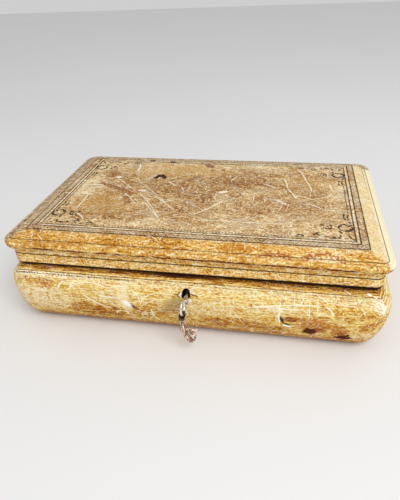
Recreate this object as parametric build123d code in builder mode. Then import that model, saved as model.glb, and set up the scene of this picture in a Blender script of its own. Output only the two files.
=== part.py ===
"""Leather-covered wooden box with a hinged lid, a small link lock, its key and a string.

Millimetres, +Z up. The origin is the centre of the underside, X runs along the box and
-Y is the front with the keyhole. Sizes marked "inset" are measured inward from the
widest line of the base, so every ring of the box keeps the same corner centres.
"""
from build123d import *
from math import cos, radians, sin
import os

# ---------------------------------------------------------------- driving sizes (mm)
# Base: a cushion-shaped moulding all round
body_length = 300.0  # at the widest line, along X
body_width = 192.5  # at the widest line, along Y
bulge_height = 37.0  # height of the widest line
rim_height = 53.7  # top of the leathered rim
shoulder_run = 13.4  # the shoulder climbs inward this far from the widest line
shoulder_power = 1.62  # exponent of the shoulder's superellipse: 2 is round, less is flatter
shoulder_slope = 0.3  # fall of the shoulder where it leaves the rim
shoulder_angles = (90, 66, 45, 0)  # points of the shoulder curve, rim to widest line
foot_run = 20.4  # the lower curve tucks in this far to the flat underside
body_corner = 22.0  # plan radius of the corners at the widest line
wall = 26.0  # widest line to the inner face of the rails
bottom_thickness = 8.0  # bottom board
rebate = 4.0  # how far the bottom board is let into the rails

# Lid: a board with a bevelled top and a round nosing, on four skirt rails
lid_height = 28.5  # bottom of the skirt to the flat top
lid_gap = 0.3  # between the rim and the closed lid
lid_setback = 4.2  # nosing inside the base's widest line
lid_corner = 12.0  # plan radius of the nosing's corners
skirt_height = 15.7  # bottom of the skirt to the nosing's underside
nosing_height = 7.75  # underside to the nosing's upper corner
nosing_upper_radius = 2.3
nosing_lower_radius = 5.0
border_width = 5.0  # narrow border outside the bevel
border_drop = 0.85
bevel_width = 11.9
bevel_ease = 2.0  # rounding where the border meets the bevel
skirt_setback = 5.1  # skirt face inside the nosing, lower half
skirt_lean = 0.9  # the upper half of the skirt leans in this far
skirt_line = 10.9  # height of the change of slope above the skirt's bottom
skirt_ease = 2.0  # rounding at that change
skirt_radius = 4.0  # round lower edge of the skirt
throat_radius = 0.6  # hollow between the skirt and the nosing

# Coverings
skin = 1.2  # leather
lining = 2.0  # covered card on the inside of the base
lid_lining = 1.5  # covered card inside the lid
lip = 4.0  # the base's lining stands this far above the rim
lip_clearance = 0.5  # lip to the lid's inner faces

# Butt hinges
hinge_offset = 80.0  # hinge centre from the middle of the box
hinge_length = 28.0
leaf_breadth = 16.5  # pin axis to the inner edge of a leaf
leaf_thickness = 1.2
knuckle_radius = 2.4
knuckle_count = 5
hinge_pin_radius = 1.0
pin_clearance = 0.05
moving_gap = 0.3  # air beside any moving piece
hinge_screw_spacing = 17.0
hinge_screw_row = 12.0  # pin axis to the row of screws

# Wood screws
screw_radius = 1.1
screw_head_radius = 2.0
screw_head_height = 0.9
screw_length = 8.0

# Lock, in the front rail
key_x = 1.9  # key axis from the middle of the box
lock_inset = 14.85  # widest line to the front of the lock case
case_length = 36.0
case_thickness = 9.0
case_foot = 3.6  # bottom of the case below the cup's port
case_wall = 1.0
selvedge_length = 46.0
selvedge_width = 9.8
selvedge_thickness = 1.2
lock_screw_spacing = 40.0
staple_thickness = 2.0
staple_width = 6.2
staple_wire = 1.3
bolt_height = 2.6
bolt_headroom = 0.4  # bolt to the selvedge above it
bolt_thickness = 3.0
bolt_throw = 5.0  # travel along X, through the staple's eye
bolt_tail_gap = 1.6  # tail to the key cup, with the bolt thrown
bolt_tail_drop = 13.0
drill_pin_radius = 0.95
drill_pin_length = 9.0

# Key
shank_radius = 1.7
bore_clearance = 0.05
bit_reach = 4.2
cup_wall = 0.5  # key cup beyond the tip of the bit
bit_thickness = 1.8
bit_length = 4.2
bow_radius = 5.3  # centre line of the ring
bow_wire = 0.85
bow_standoff = 12.1  # widest line to the middle of the ring
collar_radius = 2.4
collar_length = 1.6
keyhole_radius = 3.2  # worn round hole in the leather
keyhole_rise = 1.8  # its centre above the key axis
keyhole_shift = 0.6  # and to the left of it
slot_width = 2.6
slot_margin = 0.4  # keyhole slot beyond the tip of the bit

# String on the key's ring
string_diameter = 1.5
knot_radius = 1.9
hank_length = 20.5
hank_slant = 6.0  # the stiff old hank hangs this far to one side
hank_width = 9.0
hank_depth = 6.0

# ------------------------------------------------------------------- derived places
half_l = body_length / 2
half_w = body_width / 2
lid_l = half_l - lid_setback
lid_w = half_w - lid_setback
cavity_l = half_l - wall
cavity_w = half_w - wall
lid_cavity_l = cavity_l + lip_clearance
lid_cavity_w = cavity_w + lip_clearance
floor_z = skin + bottom_thickness
lid_bottom = rim_height + lid_gap
lid_top = lid_bottom + lid_height
nose_under = lid_bottom + skirt_height
board_bottom = nose_under + skin
nose_top = nose_under + nosing_height
bevel_foot = nose_top + border_drop
bevel_drop = lid_top - bevel_foot
# height of the bevel where it crosses the corner centres
crown_z = bevel_foot + bevel_drop * (lid_corner - border_width) / bevel_width

pin_y = lid_w - skirt_setback + moving_gap + knuckle_radius
pin_z = rim_height + lid_gap / 2
leaf_edge = pin_y - knuckle_radius - moving_gap
screw_row_y = pin_y - hinge_screw_row

case_front = -(half_w - lock_inset)
case_back = case_front + case_thickness
case_mid = (case_front + case_back) / 2
case_top = rim_height - selvedge_thickness
cup_radius = bit_reach + cup_wall
port_radius = cup_radius + moving_gap
# from the rim down: selvedge, bolt, the staple's lower bar, the key cup
bolt_bottom = case_top - bolt_headroom - bolt_height
staple_bottom = bolt_bottom - moving_gap - staple_wire
key_height = staple_bottom - 2 * moving_gap - cup_radius
case_bottom = key_height - port_radius - case_foot
bow_y = -(half_w + bow_standoff)
key_end_y = case_back - case_wall - 2 * moving_gap
bolt_rest_tip = key_x - staple_thickness / 2 - 2 * moving_gap
bolt_end = key_x - case_length / 2 + case_wall + moving_gap
bolt_tail = key_x - cup_radius - bolt_tail_gap - bolt_throw - bolt_end
ring_bottom = key_height - bow_radius

SIDES = ("front", "back", "left", "right")
CORNERS = [(1, 1), (-1, 1), (-1, -1), (1, -1)]


def write(piece, name):
    """Label a finished piece and write its STEP file."""
    piece.part.label = name
    export_step(piece.part, f"parts/{name}.step")


# --------------------------------------------------------------------- outer forms
def shoulder_point(angle, cover):
    """A point on the base's superellipse shoulder, from 0 at the widest line to 90 at the rim."""
    across, up = cos(radians(angle)), sin(radians(angle))
    x = body_corner - shoulder_run + shoulder_run * across ** (2 / shoulder_power)
    z = bulge_height + (rim_height - bulge_height) * up ** (2 / shoulder_power)
    return (x - cover * across, z - cover * up)


def body_section(cover):
    """Base moulding from the corner axis out to the widest line, `cover` inside the leather."""
    foot = body_corner - foot_run
    with BuildLine() as outline:
        Polyline((foot, cover), (0, cover), (0, rim_height - cover), shoulder_point(90, cover))
        Spline(
            *(shoulder_point(angle, cover) for angle in shoulder_angles),
            tangents=((1, -shoulder_slope), (0, -1)),
        )
        EllipticalCenterArc(
            (foot, bulge_height),
            foot_run - cover,
            bulge_height - cover,
            start_angle=270,
            arc_size=90,
        )
    make_face(outline.edges())


def lid_section(cover):
    """Lid moulding from the corner axis out to the nosing, below the height `crown_z`."""
    out = lid_corner - cover
    skirt = out - skirt_setback
    with BuildLine() as outline:
        FilletPolyline(
            (0, crown_z - cover),
            (lid_corner - border_width, bevel_foot - cover),
            (out, nose_top - cover),
            (out, nose_under + cover),
            (skirt - skirt_lean, nose_under + cover),
            (skirt, lid_bottom + skirt_line),
            (skirt, lid_bottom + cover),
            (0, lid_bottom + cover),
            radius=(
                bevel_ease,
                nosing_upper_radius - cover / 2,
                nosing_lower_radius - cover,
                throat_radius,
                skirt_ease,
                skirt_radius - cover,
            ),
        )
        Line((0, lid_bottom + cover), (0, crown_z - cover))
    make_face(outline.edges())


def moulded_block(section, cover, run_l, run_w, low, high):
    """Run a section along the four sides, turn it round the corners and fill the middle."""
    with BuildPart() as form:
        cut_box((-run_l, run_l), (-run_w, run_w), (low, high), mode=Mode.ADD)
        for s in (-1, 1):
            with BuildSketch(Plane(origin=(s * run_l, 0, 0), x_dir=(s, 0, 0), z_dir=(0, -s, 0))):
                section(cover)
            extrude(amount=run_w, both=True)
            with BuildSketch(Plane(origin=(0, s * run_w, 0), x_dir=(0, s, 0), z_dir=(s, 0, 0))):
                section(cover)
            extrude(amount=run_l, both=True)
        for sx, sy in CORNERS:
            centre = (sx * run_l, sy * run_w, 0)
            with BuildSketch(Plane(origin=centre, x_dir=(sx, 0, 0), z_dir=(0, -sx, 0))):
                section(cover)
            revolve(axis=Axis(centre, (0, 0, sx * sy)), revolution_arc=90)
    return form.part


def base_form(cover):
    run_l = half_l - body_corner
    run_w = half_w - body_corner
    return moulded_block(body_section, cover, run_l, run_w, cover, rim_height - cover)


def lid_form(cover):
    """The lid's moulded block with the rest of its bevel laid on as a low mitred frustum."""
    run_l = lid_l - lid_corner
    run_w = lid_w - lid_corner
    bevel_end = border_width + bevel_width
    with BuildPart() as form:
        add(moulded_block(lid_section, cover, run_l, run_w, lid_bottom + cover, crown_z - cover))
        with BuildSketch(Plane.XY.offset(crown_z - cover)):
            Rectangle(2 * run_l, 2 * run_w)
        with BuildSketch(Plane.XY.offset(lid_top - cover)):
            Rectangle(2 * (lid_l - bevel_end), 2 * (lid_w - bevel_end))
        loft()
    return form.part


def mitre_plan(side, out_l, out_w, depth):
    """Plan of one rail: the outline's side, cut at 45 degrees at both ends."""
    in_l = out_l - depth
    in_w = out_w - depth
    if side in ("front", "back"):
        s = -1 if side == "front" else 1
        points = [(-out_l, s * out_w), (out_l, s * out_w), (in_l, s * in_w), (-in_l, s * in_w)]
    else:
        s = -1 if side == "left" else 1
        points = [(s * out_l, -out_w), (s * out_l, out_w), (s * in_l, in_w), (s * in_l, -in_w)]
    Polygon(*points, align=None)


def cut_box(x, y, z, mode=Mode.SUBTRACT):
    """A box given by its low and high limits along each axis."""
    with Locations(((x[0] + x[1]) / 2, (y[0] + y[1]) / 2, (z[0] + z[1]) / 2)):
        Box(x[1] - x[0], y[1] - y[0], z[1] - z[0], mode=mode)


def wood_screws(points, rising=False, mode=Mode.ADD):
    """Countersunk screws with flush heads at `points`, running down, or up when rising."""
    end = (Align.CENTER, Align.CENTER, Align.MIN if rising else Align.MAX)
    low, high = (screw_head_radius, screw_radius) if rising else (screw_radius, screw_head_radius)
    with Locations(*points):
        Cone(low, high, screw_head_height, align=end, mode=mode)
        Cylinder(screw_radius, screw_length, align=end, mode=mode)


hinge_xs = (-hinge_offset, hinge_offset)
hinge_screw_xs = [x + s * hinge_screw_spacing / 2 for x in hinge_xs for s in (-1, 1)]
base_hinge_screws = [(x, screw_row_y, rim_height) for x in hinge_screw_xs]
lid_hinge_screws = [(x, screw_row_y, lid_bottom) for x in hinge_screw_xs]
lock_screw_xs = [key_x + s * lock_screw_spacing / 2 for s in (-1, 1)]
lock_screw_places = [(x, case_mid, rim_height) for x in lock_screw_xs]
link_screw_places = [(x, case_mid, lid_bottom) for x in lock_screw_xs]


def leaf_recesses(bottom, top):
    """Cut the two hinge leaves' beds."""
    for x in hinge_xs:
        reach = (x - hinge_length / 2, x + hinge_length / 2)
        cut_box(reach, (pin_y - leaf_breadth, pin_y), (bottom, top))


def plate_recess(bottom, top):
    """Cut the bed of the selvedge, or of the link plate above it."""
    half = selvedge_length / 2
    across = (case_mid - selvedge_width / 2, case_mid + selvedge_width / 2)
    cut_box((key_x - half, key_x + half), across, (bottom, top))


os.makedirs("parts", exist_ok=True)

# ------------------------------------------------------------------ base: wood carcass
base_wood = base_form(skin)

with BuildPart() as bottom_board:
    cut_box(
        (-cavity_l - rebate, cavity_l + rebate),
        (-cavity_w - rebate, cavity_w + rebate),
        (skin, floor_z),
        mode=Mode.ADD,
    )
write(bottom_board, "bottom_board")

for side in SIDES:
    with BuildPart() as rail:
        add(base_wood)
        cut_box((-cavity_l, cavity_l), (-cavity_w, cavity_w), (0, rim_height))
        cut_box(
            (-cavity_l - rebate, cavity_l + rebate),
            (-cavity_w - rebate, cavity_w + rebate),
            (0, floor_z),
        )
        with BuildSketch(Plane.XY):
            mitre_plan(side, half_l, half_w, wall)
        extrude(amount=rim_height, mode=Mode.INTERSECT)
        if side == "back":
            leaf_recesses(rim_height - leaf_thickness, rim_height)
            wood_screws(base_hinge_screws, mode=Mode.SUBTRACT)
        if side == "front":
            plate_recess(case_top, rim_height)
            wood_screws(lock_screw_places, mode=Mode.SUBTRACT)
            half = case_length / 2
            cut_box((key_x - half, key_x + half), (case_front, case_back), (case_bottom, rim_height))
            with BuildSketch(Plane.XZ.offset(half_w)):
                with Locations((key_x, key_height)):
                    Circle(port_radius)
            extrude(amount=-lock_inset, mode=Mode.SUBTRACT)
    write(rail, f"{side}_rail")

# ------------------------------------------------------------- base: leather covering
with BuildPart() as under_sheet:
    add(base_form(0))
    split(bisect_by=Plane.XY.offset(skin), keep=Keep.BOTTOM)
write(under_sheet, "under_sheet")

with BuildPart() as base_leather:
    add(base_form(0))
    split(bisect_by=Plane.XY.offset(skin), keep=Keep.TOP)
    add(base_wood, mode=Mode.SUBTRACT)
    cut_box((-cavity_l, cavity_l), (-cavity_w, cavity_w), (0, rim_height))
    leaf_recesses(rim_height - leaf_thickness, rim_height)
    plate_recess(case_top, rim_height)
    wood_screws(base_hinge_screws + lock_screw_places, mode=Mode.SUBTRACT)
    with BuildSketch(Plane.XZ.offset(half_w)):
        with Locations((key_x - keyhole_shift, key_height + keyhole_rise)):
            Circle(keyhole_radius)
        slot_drop = bit_reach + slot_margin
        with Locations((key_x, key_height - slot_drop / 2)):
            Rectangle(slot_width, slot_drop)
        with Locations((key_x, key_height)):
            Circle(shank_radius + moving_gap)
    extrude(amount=-lock_inset / 2, mode=Mode.SUBTRACT)
write(base_leather, "base_leather")

# -------------------------------------------------------------------- base: lining
lip_top = rim_height + lip
with BuildPart() as lining_floor:
    cut_box(
        (-cavity_l, cavity_l), (-cavity_w, cavity_w), (floor_z, floor_z + lining), mode=Mode.ADD
    )
write(lining_floor, "lining_floor")

for side in SIDES:
    with BuildPart() as wall_lining:
        with BuildSketch(Plane.XY.offset(floor_z + lining)):
            mitre_plan(side, cavity_l, cavity_w, lining)
        extrude(amount=lip_top - floor_z - lining)
    write(wall_lining, f"lining_{side}")

# ---------------------------------------------------------------------- lid: wood
lid_wood = lid_form(skin)

with BuildPart() as lid_board:
    add(lid_wood)
    split(bisect_by=Plane.XY.offset(board_bottom), keep=Keep.TOP)
write(lid_board, "lid_board")

for side in SIDES:
    with BuildPart() as rail:
        add(lid_wood)
        cut_box(
            (-lid_cavity_l, lid_cavity_l), (-lid_cavity_w, lid_cavity_w), (0, board_bottom)
        )
        with BuildSketch(Plane.XY):
            mitre_plan(side, lid_l, lid_w, lid_l - lid_cavity_l)
        extrude(amount=board_bottom, mode=Mode.INTERSECT)
        if side == "back":
            leaf_recesses(lid_bottom, lid_bottom + leaf_thickness)
            wood_screws(lid_hinge_screws, rising=True, mode=Mode.SUBTRACT)
        if side == "front":
            plate_recess(lid_bottom, lid_bottom + selvedge_thickness)
            wood_screws(link_screw_places, rising=True, mode=Mode.SUBTRACT)
    write(rail, f"lid_{side}_rail")

with BuildPart() as lid_leather:
    add(lid_form(0))
    add(lid_wood, mode=Mode.SUBTRACT)
    cut_box((-lid_cavity_l, lid_cavity_l), (-lid_cavity_w, lid_cavity_w), (0, board_bottom))
    leaf_recesses(lid_bottom, lid_bottom + leaf_thickness)
    plate_recess(lid_bottom, lid_bottom + selvedge_thickness)
    wood_screws(lid_hinge_screws + link_screw_places, rising=True, mode=Mode.SUBTRACT)
write(lid_leather, "lid_leather")

with BuildPart() as lid_panel:
    cut_box(
        (-lid_cavity_l, lid_cavity_l),
        (-lid_cavity_w, lid_cavity_w),
        (board_bottom - lid_lining, board_bottom),
        mode=Mode.ADD,
    )
write(lid_panel, "lid_lining_panel")

strip_bottom = lip_top + 2 * moving_gap
for side in SIDES:
    with BuildPart() as strip:
        with BuildSketch(Plane.XY.offset(strip_bottom)):
            mitre_plan(side, lid_cavity_l, lid_cavity_w, lid_lining)
        extrude(amount=board_bottom - lid_lining - strip_bottom)
    write(strip, f"lid_lining_{side}")

# -------------------------------------------------------------------------- hinges
knuckle = hinge_length / knuckle_count


def hinge_leaf(x, bottom, owned, bore):
    """One leaf and the knuckles in `owned`, in the current part."""
    start = x - hinge_length / 2
    cut_box(
        (start, start + hinge_length),
        (pin_y - leaf_breadth, leaf_edge),
        (bottom, bottom + leaf_thickness),
        mode=Mode.ADD,
    )
    for i in owned:
        low = start + i * knuckle + moving_gap / 4
        high = start + (i + 1) * knuckle - moving_gap / 4
        cut_box((low, high), (leaf_edge, pin_y), (bottom, bottom + leaf_thickness), mode=Mode.ADD)
        with Locations(Location(((low + high) / 2, pin_y, pin_z), (0, 90, 0))):
            Cylinder(knuckle_radius, high - low)
    with Locations(Location((x, pin_y, pin_z), (0, 90, 0))):
        Cylinder(bore, hinge_length, mode=Mode.SUBTRACT)


for name, x in zip(("left", "right"), hinge_xs):
    with BuildPart() as base_leaf:
        hinge_leaf(x, rim_height - leaf_thickness, range(0, knuckle_count, 2), hinge_pin_radius)
        wood_screws(base_hinge_screws, mode=Mode.SUBTRACT)
    write(base_leaf, f"hinge_{name}_base_leaf")

    with BuildPart() as lid_leaf:
        hinge_leaf(x, lid_bottom, range(1, knuckle_count, 2), hinge_pin_radius + pin_clearance)
        wood_screws(lid_hinge_screws, rising=True, mode=Mode.SUBTRACT)
    write(lid_leaf, f"hinge_{name}_lid_leaf")

    with BuildPart() as hinge_pin:
        with BuildSketch(Plane.YZ.offset(x - hinge_length / 2)):
            with Locations((pin_y, pin_z)):
                Circle(hinge_pin_radius)
        extrude(amount=hinge_length)
    write(hinge_pin, f"hinge_{name}_pin")

with BuildPart() as hinge_base_screws:
    wood_screws(base_hinge_screws)
write(hinge_base_screws, "hinge_base_screws")

with BuildPart() as hinge_lid_screws:
    wood_screws(lid_hinge_screws, rising=True)
write(hinge_lid_screws, "hinge_lid_screws")

# ---------------------------------------------------------------------------- lock
staple_gap = (staple_thickness + 4 * moving_gap, staple_width + 2 * moving_gap)

with BuildPart() as lock_case:
    half = selvedge_length / 2
    cut_box(
        (key_x - half, key_x + half),
        (case_mid - selvedge_width / 2, case_mid + selvedge_width / 2),
        (case_top, rim_height),
        mode=Mode.ADD,
    )
    half = case_length / 2
    cut_box(
        (key_x - half, key_x + half), (case_front, case_back), (case_bottom, case_top), mode=Mode.ADD
    )
    half = case_length / 2 - case_wall
    cut_box(
        (key_x - half, key_x + half),
        (case_front + case_wall, case_back - case_wall),
        (case_bottom + case_wall, case_top),
    )
    with BuildSketch(Plane.XZ.offset(-case_front)):
        with Locations((key_x, key_height)):
            Circle(port_radius)
    extrude(amount=-case_wall, mode=Mode.SUBTRACT)
    with Locations((key_x, case_mid, rim_height)):
        Box(
            staple_gap[0],
            staple_gap[1],
            selvedge_thickness,
            align=(Align.CENTER, Align.CENTER, Align.MAX),
            mode=Mode.SUBTRACT,
        )
    wood_screws(lock_screw_places, mode=Mode.SUBTRACT)
write(lock_case, "lock_case")

with BuildPart() as drill_pin:
    with BuildSketch(Plane.XZ.offset(-(case_back - case_wall))):
        with Locations((key_x, key_height)):
            Circle(drill_pin_radius)
    extrude(amount=drill_pin_length)
write(drill_pin, "drill_pin")

with BuildPart() as lock_screws:
    wood_screws(lock_screw_places)
write(lock_screws, "lock_screws")

# The bolt slides along X above the key cup, through the staple's eye
with BuildPart() as lock_bolt:
    across = (case_mid - bolt_thickness / 2, case_mid + bolt_thickness / 2)
    cut_box((bolt_end, bolt_rest_tip), across, (bolt_bottom, bolt_bottom + bolt_height), mode=Mode.ADD)
    cut_box(
        (bolt_end, bolt_end + bolt_tail), across, (bolt_bottom - bolt_tail_drop, bolt_bottom), mode=Mode.ADD
    )
write(lock_bolt, "lock_bolt")

# The cup turns with the key and holds its bit
with BuildPart() as key_cup:
    cup_front = case_front + case_wall + moving_gap
    with BuildSketch(Plane.XZ.offset(-cup_front)):
        with Locations((key_x, key_height)):
            Circle(cup_radius)
            Circle(shank_radius + moving_gap, mode=Mode.SUBTRACT)
        with Locations((key_x, key_height - cup_radius / 2)):
            Rectangle(bit_thickness + 2 * moving_gap, cup_radius, mode=Mode.SUBTRACT)
    extrude(amount=-(case_back - case_wall - moving_gap - cup_front))
write(key_cup, "key_cup")

with BuildPart() as link_plate:
    half = selvedge_length / 2
    cut_box(
        (key_x - half, key_x + half),
        (case_mid - selvedge_width / 2, case_mid + selvedge_width / 2),
        (lid_bottom, lid_bottom + selvedge_thickness),
        mode=Mode.ADD,
    )
    wood_screws(link_screw_places, rising=True, mode=Mode.SUBTRACT)
    eye_bottom = bolt_bottom - moving_gap
    eye_top = bolt_bottom + bolt_height + moving_gap
    along = (key_x - staple_thickness / 2, key_x + staple_thickness / 2)
    cut_box(
        along,
        (case_mid - staple_width / 2, case_mid + staple_width / 2),
        (staple_bottom, lid_bottom),
        mode=Mode.ADD,
    )
    half = staple_width / 2 - staple_wire
    cut_box(along, (case_mid - half, case_mid + half), (eye_bottom, eye_top))
write(link_plate, "link_plate")

with BuildPart() as link_screws:
    wood_screws(link_screw_places, rising=True)
write(link_screws, "link_screws")

# ----------------------------------------------------------------------------- key
with BuildPart() as key:
    ring_front = bow_y + bow_radius
    with BuildSketch(Plane.XZ.offset(-ring_front)):
        with Locations((key_x, key_height)):
            Circle(shank_radius)
    extrude(amount=-(key_end_y - ring_front))
    with BuildSketch(Plane.XZ.offset(-(ring_front + collar_length + bow_wire))):
        with Locations((key_x, key_height)):
            Circle(collar_radius)
    extrude(amount=collar_length)
    cut_box(
        (key_x - bit_thickness / 2, key_x + bit_thickness / 2),
        (key_end_y - bit_length, key_end_y),
        (key_height - bit_reach, key_height),
        mode=Mode.ADD,
    )
    with BuildSketch(Plane.XZ.offset(-key_end_y)):
        with Locations((key_x, key_height)):
            Circle(drill_pin_radius + bore_clearance)
    extrude(amount=drill_pin_length, mode=Mode.SUBTRACT)
    with Locations(Location((key_x, bow_y, key_height), (0, 90, 0))):
        Torus(bow_radius, bow_wire)
write(key, "key")

# -------------------------------------------------------------------------- string
string_radius = string_diameter / 2
loop_radius = bow_wire + moving_gap + string_radius
with BuildPart() as string_loop:
    with Locations(Location((key_x, bow_y, ring_bottom), (90, 0, 0))):
        Torus(loop_radius, string_radius)
write(string_loop, "string_loop")

knot_z = ring_bottom - loop_radius - string_radius - knot_radius
with BuildPart() as string_knot:
    with Locations((key_x, bow_y, knot_z)):
        Sphere(knot_radius)
write(string_knot, "string_knot")

with BuildPart() as string_hank:
    top = knot_z - knot_radius
    stations = ((0.0, 0.0, 0.3), (0.35, 0.25, 0.75), (0.7, 0.7, 1.0), (1.0, 1.0, 0.45))
    for drop, lean, size in stations:
        origin = (key_x + lean * hank_slant, bow_y, top - drop * hank_length)
        with BuildSketch(Plane(origin=origin)):
            Ellipse(size * hank_width / 2, size * hank_depth / 2)
    loft()
write(string_hank, "string_hank")
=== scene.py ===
from math import atan2, cos, hypot, pi, sin

import bpy
from mathutils import Matrix, Vector


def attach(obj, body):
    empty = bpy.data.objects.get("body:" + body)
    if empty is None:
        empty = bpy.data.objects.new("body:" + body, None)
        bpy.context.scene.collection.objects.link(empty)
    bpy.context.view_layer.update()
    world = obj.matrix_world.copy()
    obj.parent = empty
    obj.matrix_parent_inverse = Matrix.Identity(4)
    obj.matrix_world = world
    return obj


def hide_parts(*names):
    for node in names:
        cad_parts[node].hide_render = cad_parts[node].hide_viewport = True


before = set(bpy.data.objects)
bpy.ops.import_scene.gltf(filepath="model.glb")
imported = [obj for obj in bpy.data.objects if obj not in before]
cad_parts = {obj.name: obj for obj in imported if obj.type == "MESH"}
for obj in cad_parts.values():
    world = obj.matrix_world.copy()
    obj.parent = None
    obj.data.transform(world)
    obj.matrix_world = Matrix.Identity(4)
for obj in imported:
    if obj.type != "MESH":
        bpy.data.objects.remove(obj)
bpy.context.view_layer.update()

scene = bpy.context.scene
MM = 0.001

# ----------------------------------------------------------------------------- camera
# The box is seen from above its front, a little to the right of the lock, at arm's
# length. The camera is turned toward the left end and leans slightly.
camera_place = (0.0719, -0.3555, 0.2524)
camera_turn = 0.219
camera_dip = 0.562
camera_lean = -0.051
camera_lens = 32.8
eye = bpy.data.cameras.new("eye")
eye.lens = camera_lens
eye.clip_start = 0.01
camera = bpy.data.objects.new("camera", eye)
camera.matrix_world = (
    Matrix.Translation(camera_place)
    @ Matrix.Rotation(camera_turn, 4, "Z")
    @ Matrix.Rotation(pi / 2 - camera_dip, 4, "X")
    @ Matrix.Rotation(camera_lean, 4, "Z")
)
scene.collection.objects.link(camera)
scene.camera = camera


# ----------------------------------------------------------------------------- string
# Old two-ply cotton string, looped round the lower wire of the key's ring, tied there
# and folded into a short crumpled hank with a cut tail. It hangs free below the knot.
class Dye:
    """A socket in a material's nodes. Sums on it add Math nodes, so masks read as formulas."""

    def __init__(self, tree, socket):
        self.tree = tree
        self.socket = socket

    def node(self, kind, settings=None, inputs=None, output=0):
        """Add a node: its settings first, then the values or links of its sockets."""
        made = self.tree.nodes.new(kind)
        for name, setting in (settings or {}).items():
            if name == "stops":
                ramp = made.color_ramp.elements
                while len(ramp) < len(setting):
                    ramp.new(0.5)
                for element, (place, colour) in zip(ramp, setting):
                    element.position = place
                    element.color = (*colour, 1)
            else:
                setattr(made, name, setting)
        for key, value in (inputs or {}).items():
            if isinstance(value, Dye):
                self.tree.links.new(value.socket, made.inputs[key])
            else:
                made.inputs[key].default_value = value
        return Dye(self.tree, made.outputs[output])

    def math(self, operation, *terms):
        return self.node("ShaderNodeMath", {"operation": operation}, dict(enumerate(terms)))

    def __add__(self, other):
        return self.math("ADD", self, other)

    def __sub__(self, other):
        return self.math("SUBTRACT", self, other)

    def __mul__(self, other):
        return self.math("MULTIPLY", self, other)

    def __truediv__(self, other):
        return self.math("DIVIDE", self, other)

    def __radd__(self, other):
        return self.math("ADD", other, self)

    def __rsub__(self, other):
        return self.math("SUBTRACT", other, self)

    def __rmul__(self, other):
        return self.math("MULTIPLY", other, self)

    def __abs__(self):
        return self.math("ABSOLUTE", self)

    def below(self, other):
        return self.math("MINIMUM", self, other)

    def above(self, other):
        return self.math("MAXIMUM", self, other)

    def parts(self):
        """The three numbers of a vector."""
        made = self.tree.nodes.new("ShaderNodeSeparateXYZ")
        self.tree.links.new(self.socket, made.inputs[0])
        return [Dye(self.tree, number) for number in made.outputs]

    def step(self, low, high):
        """0 at low, 1 at high, smooth between; low may be the larger one."""
        settings = {"interpolation_type": "SMOOTHSTEP", "clamp": False}
        ends = {1: low, 2: high} if low < high else {1: high, 2: low, 3: 1.0, 4: 0.0}
        return self.node("ShaderNodeMapRange", settings, {0: self, **ends})

    def moved(self, by):
        return self.node("ShaderNodeVectorMath", {"operation": "ADD"}, {0: self, 1: by})

    def dot(self, by):
        """How far this vector reaches along another one."""
        settings = {"operation": "DOT_PRODUCT"}
        return self.node("ShaderNodeVectorMath", settings, {0: self, 1: by}, 1)

    def spread(self, by):
        return self.node("ShaderNodeVectorMath", {"operation": "MULTIPLY"}, {0: self, 1: by})

    def turned(self, angle):
        settings = {"rotation_type": "Z_AXIS"}
        return self.node("ShaderNodeVectorRotate", settings, {"Vector": self, "Angle": angle})

    def noise(self, size, detail=3.0, roughness=0.55, warp=0.0):
        """Even noise from 0 to 1, with features of about that size in millimetres."""
        inputs = {"Scale": 1 / size, "Detail": detail, "Roughness": roughness, "Distortion": warp}
        return self.node("ShaderNodeTexNoise", None, {"Vector": self, **inputs})

    def ramp(self, *stops):
        return self.node("ShaderNodeValToRGB", {"stops": stops}, {0: self})

    def tint(self, colour, share):
        """This colour mixed with another by a share from 0 to 1."""
        settings = {"data_type": "RGBA", "clamp_factor": True}
        if not isinstance(colour, Dye):
            colour = (*colour, 1)
        return self.node("ShaderNodeMix", settings, {0: share, 6: self, 7: colour}, output=2)


def finish_of(name, fixed=None):
    """A new material: its name's shader, and the object's coordinates in millimetres."""
    material = bpy.data.materials.new(name)
    material.use_nodes = True
    tree = material.node_tree
    shader = tree.nodes["Principled BSDF"]
    for socket, value in (fixed or {}).items():
        shader.inputs[socket].default_value = value
    place = tree.nodes.new("ShaderNodeTexCoord").outputs["Object"]
    millimetres = Dye(tree, place).spread((1000, 1000, 1000))
    return material, millimetres


def put_on(material, colour, roughness, height=None, depth=0.1, metallic=None):
    """Link what varies into the shader; height is a relief of that depth in millimetres."""
    tree = material.node_tree
    shader = tree.nodes["Principled BSDF"]
    tree.links.new(colour.socket, shader.inputs["Base Color"])
    tree.links.new(roughness.socket, shader.inputs["Roughness"])
    if metallic is not None:
        tree.links.new(metallic.socket, shader.inputs["Metallic"])
    if height is not None:
        inputs = {"Strength": 1.0, "Distance": depth * MM, "Height": height}
        relief = height.node("ShaderNodeBump", None, inputs)
        tree.links.new(relief.socket, shader.inputs["Normal"])


def add_piece(name, points, faces, material, body):
    """A new smooth mesh piece from points in millimetres, riding on a body."""
    mesh = bpy.data.meshes.new(name)
    mesh.from_pydata([Vector(p) * MM for p in points], [], faces)
    mesh.validate()
    mesh.materials.append(material)
    for face in mesh.polygons:
        face.use_smooth = True
    piece = bpy.data.objects.new(name, mesh)
    scene.collection.objects.link(piece)
    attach(piece, body)
    return piece


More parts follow.
